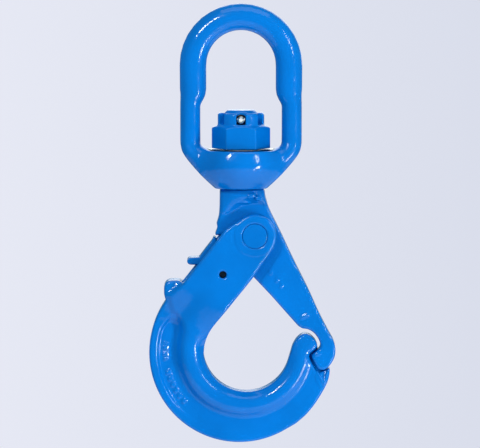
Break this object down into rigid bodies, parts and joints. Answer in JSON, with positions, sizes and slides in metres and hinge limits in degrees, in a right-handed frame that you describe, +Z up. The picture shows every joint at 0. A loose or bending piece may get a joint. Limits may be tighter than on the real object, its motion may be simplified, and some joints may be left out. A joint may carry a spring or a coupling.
{
  "type": "swivel hook",
  "caption": "Swivel self-locking lifting hook: round bail on a ball thrust bearing, castle nut, pivoting hook with cheeks, latch arm and a sprung thumb trigger.",
  "frame": {"origin": "the load point inside the crown of the bail", "axes": "+Z up along the swivel axis, from the hook towards the bail; the hook faces -Y and its mouth closes on the +X side"},
  "size_m": [0.1124, 0.05, 0.2646],
  "materials": {
    "blue_paint": "gloss blue paint over forged steel",
    "bright_steel": "bright drawn steel",
    "dark_steel": "blackened steel",
    "bearing_steel": "ground bearing steel",
    "cage_brass": "pressed brass"
  },
  "bodies": {
    "bail": {"swivel_link": "blue_paint", "bearing_lower_race": "bearing_steel"},
    "shank": {"upper_body": "blue_paint", "castle_nut": "blue_paint", "nut_lock_pin": "bright_steel", "bearing_upper_race": "bearing_steel"},
    "ball_ring": {"bearing_cage": "cage_brass", "bearing_ball_01": "bearing_steel", "bearing_ball_02": "bearing_steel", "bearing_ball_03": "bearing_steel", "bearing_ball_04": "bearing_steel", "bearing_ball_05": "bearing_steel", "bearing_ball_06": "bearing_steel", "bearing_ball_07": "bearing_steel", "bearing_ball_08": "bearing_steel", "bearing_ball_09": "bearing_steel", "bearing_ball_10": "bearing_steel", "bearing_ball_11": "bearing_steel", "bearing_ball_12": "bearing_steel"},
    "hook": {"hook_body": "blue_paint", "pivot_pin": "blue_paint", "trigger_pin": "dark_steel", "trigger_spring": "bright_steel"},
    "thumb_trigger": {"trigger": "blue_paint"}
  },
  "joints": [
    {"name": "swivel", "type": "hinge", "parent": "bail", "child": "shank", "pos_m": [0, 0, -0.0785], "axis": [0, 0, 1], "continuous": true},
    {"name": "ball_ring_turn", "type": "hinge", "parent": "bail", "child": "ball_ring", "pos_m": [0, 0, -0.0785], "axis": [0, 0, 1], "continuous": true},
    {"name": "hook_open", "type": "hinge", "parent": "shank", "child": "hook", "pos_m": [0.0083, 0, -0.1233], "axis": [0, 1, 0], "range_deg": [0, 40]},
    {"name": "trigger_press", "type": "hinge", "parent": "hook", "child": "thumb_trigger", "pos_m": [-0.0109, 0, -0.1465], "axis": [0, -1, 0], "range_deg": [0, 22], "stiffness_Nm_per_rad": 0.1, "springref_deg": -11.46, "deforming": ["trigger_spring"]}
  ],
  "couplings": [
    {"joint": "ball_ring_turn", "follows": "swivel", "ratio": 0.5},
    {"joint": "trigger_press", "follows": "hook_open", "ratio": 0.5}
  ]
}
